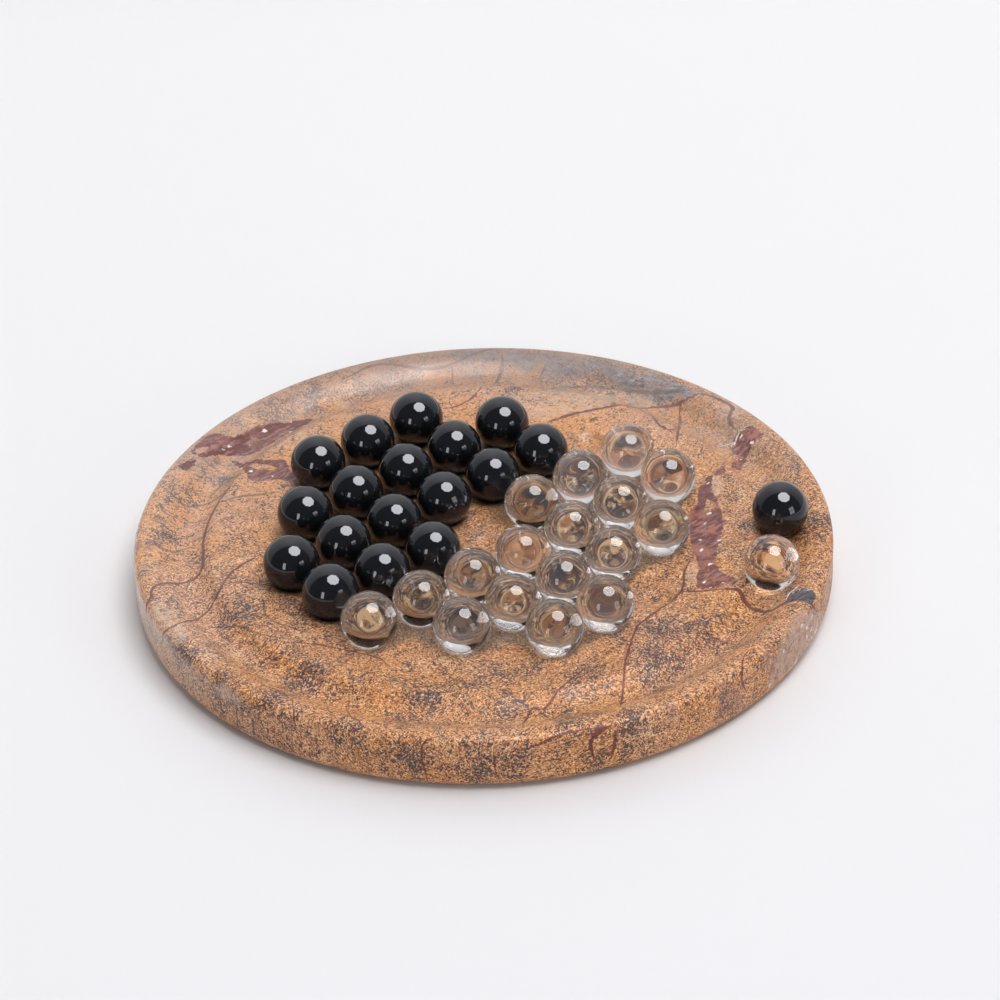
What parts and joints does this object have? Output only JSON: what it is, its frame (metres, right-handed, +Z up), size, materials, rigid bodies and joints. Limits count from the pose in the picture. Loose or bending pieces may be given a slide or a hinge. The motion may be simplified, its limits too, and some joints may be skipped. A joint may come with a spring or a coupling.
{
  "type": "marble solitaire board",
  "caption": "Round stone peg-solitaire board with a dished dimpled playing surface, a rolled rim and an outer groove, and loose black and clear glass marbles.",
  "frame": {"origin": "centre of the round board's underside, on the surface it stands on", "axes": "+Z up out of the playing surface; +X along one straight line of holes and +Y along the line of holes at right angles to it"},
  "size_m": [0.2316, 0.2316, 0.0331],
  "materials": {
    "stone": "satin",
    "black_glass": "polished",
    "clear_glass": "polished"
  },
  "bodies": {
    "board": {"board": "stone"},
    "marble_black_01": {"marble_black_01": "black_glass"},
    "marble_black_02": {"marble_black_02": "black_glass"},
    "marble_black_03": {"marble_black_03": "black_glass"},
    "marble_black_04": {"marble_black_04": "black_glass"},
    "marble_black_05": {"marble_black_05": "black_glass"},
    "marble_black_06": {"marble_black_06": "black_glass"},
    "marble_black_07": {"marble_black_07": "black_glass"},
    "marble_black_08": {"marble_black_08": "black_glass"},
    "marble_black_09": {"marble_black_09": "black_glass"},
    "marble_black_10": {"marble_black_10": "black_glass"},
    "marble_black_11": {"marble_black_11": "black_glass"},
    "marble_black_12": {"marble_black_12": "black_glass"},
    "marble_black_13": {"marble_black_13": "black_glass"},
    "marble_black_14": {"marble_black_14": "black_glass"},
    "marble_black_15": {"marble_black_15": "black_glass"},
    "marble_black_16": {"marble_black_16": "black_glass"},
    "marble_black_17": {"marble_black_17": "black_glass"},
    "marble_black_18": {"marble_black_18": "black_glass"},
    "marble_clear_01": {"marble_clear_01": "clear_glass"},
    "marble_clear_02": {"marble_clear_02": "clear_glass"},
    "marble_clear_03": {"marble_clear_03": "clear_glass"},
    "marble_clear_04": {"marble_clear_04": "clear_glass"},
    "marble_clear_05": {"marble_clear_05": "clear_glass"},
    "marble_clear_06": {"marble_clear_06": "clear_glass"},
    "marble_clear_07": {"marble_clear_07": "clear_glass"},
    "marble_clear_08": {"marble_clear_08": "clear_glass"},
    "marble_clear_09": {"marble_clear_09": "clear_glass"},
    "marble_clear_10": {"marble_clear_10": "clear_glass"},
    "marble_clear_11": {"marble_clear_11": "clear_glass"},
    "marble_clear_12": {"marble_clear_12": "clear_glass"},
    "marble_clear_13": {"marble_clear_13": "clear_glass"},
    "marble_clear_14": {"marble_clear_14": "clear_glass"},
    "marble_clear_15": {"marble_clear_15": "clear_glass"},
    "marble_clear_16": {"marble_clear_16": "clear_glass"},
    "marble_clear_17": {"marble_clear_17": "clear_glass"},
    "marble_clear_18": {"marble_clear_18": "clear_glass"}
  },
  "joints": [
    {"name": "marble_black_01_lift", "type": "slide", "parent": "board", "child": "marble_black_01", "axis": [0, 0, 1], "range_m": [0, 0.03]},
    {"name": "marble_black_02_lift", "type": "slide", "parent": "board", "child": "marble_black_02", "axis": [0, 0, 1], "range_m": [0, 0.03]},
    {"name": "marble_black_03_lift", "type": "slide", "parent": "board", "child": "marble_black_03", "axis": [0, 0, 1], "range_m": [0, 0.03]},
    {"name": "marble_black_04_lift", "type": "slide", "parent": "board", "child": "marble_black_04", "axis": [0, 0, 1], "range_m": [0, 0.03]},
    {"name": "marble_black_05_lift", "type": "slide", "parent": "board", "child": "marble_black_05", "axis": [0, 0, 1], "range_m": [0, 0.03]},
    {"name": "marble_black_06_lift", "type": "slide", "parent": "board", "child": "marble_black_06", "axis": [0, 0, 1], "range_m": [0, 0.03]},
    {"name": "marble_black_07_lift", "type": "slide", "parent": "board", "child": "marble_black_07", "axis": [0, 0, 1], "range_m": [0, 0.03]},
    {"name": "marble_black_08_lift", "type": "slide", "parent": "board", "child": "marble_black_08", "axis": [0, 0, 1], "range_m": [0, 0.03]},
    {"name": "marble_black_09_lift", "type": "slide", "parent": "board", "child": "marble_black_09", "axis": [0, 0, 1], "range_m": [0, 0.03]},
    {"name": "marble_black_10_lift", "type": "slide", "parent": "board", "child": "marble_black_10", "axis": [0, 0, 1], "range_m": [0, 0.03]},
    {"name": "marble_black_11_lift", "type": "slide", "parent": "board", "child": "marble_black_11", "axis": [0, 0, 1], "range_m": [0, 0.03]},
    {"name": "marble_black_12_lift", "type": "slide", "parent": "board", "child": "marble_black_12", "axis": [0, 0, 1], "range_m": [0, 0.03]},
    {"name": "marble_black_13_lift", "type": "slide", "parent": "board", "child": "marble_black_13", "axis": [0, 0, 1], "range_m": [0, 0.03]},
    {"name": "marble_black_14_lift", "type": "slide", "parent": "board", "child": "marble_black_14", "axis": [0, 0, 1], "range_m": [0, 0.03]},
    {"name": "marble_black_15_lift", "type": "slide", "parent": "board", "child": "marble_black_15", "axis": [0, 0, 1], "range_m": [0, 0.03]},
    {"name": "marble_black_16_lift", "type": "slide", "parent": "board", "child": "marble_black_16", "axis": [0, 0, 1], "range_m": [0, 0.03]},
    {"name": "marble_black_17_lift", "type": "slide", "parent": "board", "child": "marble_black_17", "axis": [0, 0, 1], "range_m": [0, 0.03]},
    {"name": "marble_black_18_roll", "type": "hinge", "parent": "board", "child": "marble_black_18", "pos_m": [0, 0, 0], "axis": [0, 0, 1], "range_deg": [-3.5, 165]},
    {"name": "marble_clear_01_lift", "type": "slide", "parent": "board", "child": "marble_clear_01", "axis": [0, 0, 1], "range_m": [0, 0.03]},
    {"name": "marble_clear_02_lift", "type": "slide", "parent": "board", "child": "marble_clear_02", "axis": [0, 0, 1], "range_m": [0, 0.03]},
    {"name": "marble_clear_03_lift", "type": "slide", "parent": "board", "child": "marble_clear_03", "axis": [0, 0, 1], "range_m": [0, 0.03]},
    {"name": "marble_clear_04_lift", "type": "slide", "parent": "board", "child": "marble_clear_04", "axis": [0, 0, 1], "range_m": [0, 0.03]},
    {"name": "marble_clear_05_lift", "type": "slide", "parent": "board", "child": "marble_clear_05", "axis": [0, 0, 1], "range_m": [0, 0.03]},
    {"name": "marble_clear_06_lift", "type": "slide", "parent": "board", "child": "marble_clear_06", "axis": [0, 0, 1], "range_m": [0, 0.03]},
    {"name": "marble_clear_07_lift", "type": "slide", "parent": "board", "child": "marble_clear_07", "axis": [0, 0, 1], "range_m": [0, 0.03]},
    {"name": "marble_clear_08_lift", "type": "slide", "parent": "board", "child": "marble_clear_08", "axis": [0, 0, 1], "range_m": [0, 0.03]},
    {"name": "marble_clear_09_lift", "type": "slide", "parent": "board", "child": "marble_clear_09", "axis": [0, 0, 1], "range_m": [0, 0.03]},
    {"name": "marble_clear_10_lift", "type": "slide", "parent": "board", "child": "marble_clear_10", "axis": [0, 0, 1], "range_m": [0, 0.03]},
    {"name": "marble_clear_11_lift", "type": "slide", "parent": "board", "child": "marble_clear_11", "axis": [0, 0, 1], "range_m": [0, 0.03]},
    {"name": "marble_clear_12_lift", "type": "slide", "parent": "board", "child": "marble_clear_12", "axis": [0, 0, 1], "range_m": [0, 0.03]},
    {"name": "marble_clear_13_lift", "type": "slide", "parent": "board", "child": "marble_clear_13", "axis": [0, 0, 1], "range_m": [0, 0.03]},
    {"name": "marble_clear_14_lift", "type": "slide", "parent": "board", "child": "marble_clear_14", "axis": [0, 0, 1], "range_m": [0, 0.03]},
    {"name": "marble_clear_15_lift", "type": "slide", "parent": "board", "child": "marble_clear_15", "axis": [0, 0, 1], "range_m": [0, 0.03]},
    {"name": "marble_clear_16_lift", "type": "slide", "parent": "board", "child": "marble_clear_16", "axis": [0, 0, 1], "range_m": [0, 0.03]},
    {"name": "marble_clear_17_lift", "type": "slide", "parent": "board", "child": "marble_clear_17", "axis": [0, 0, 1], "range_m": [0, 0.03]},
    {"name": "marble_clear_18_roll", "type": "hinge", "parent": "board", "child": "marble_clear_18", "pos_m": [0, 0, 0], "axis": [0, 0, 1], "range_deg": [-165, 3.5]}
  ]
}
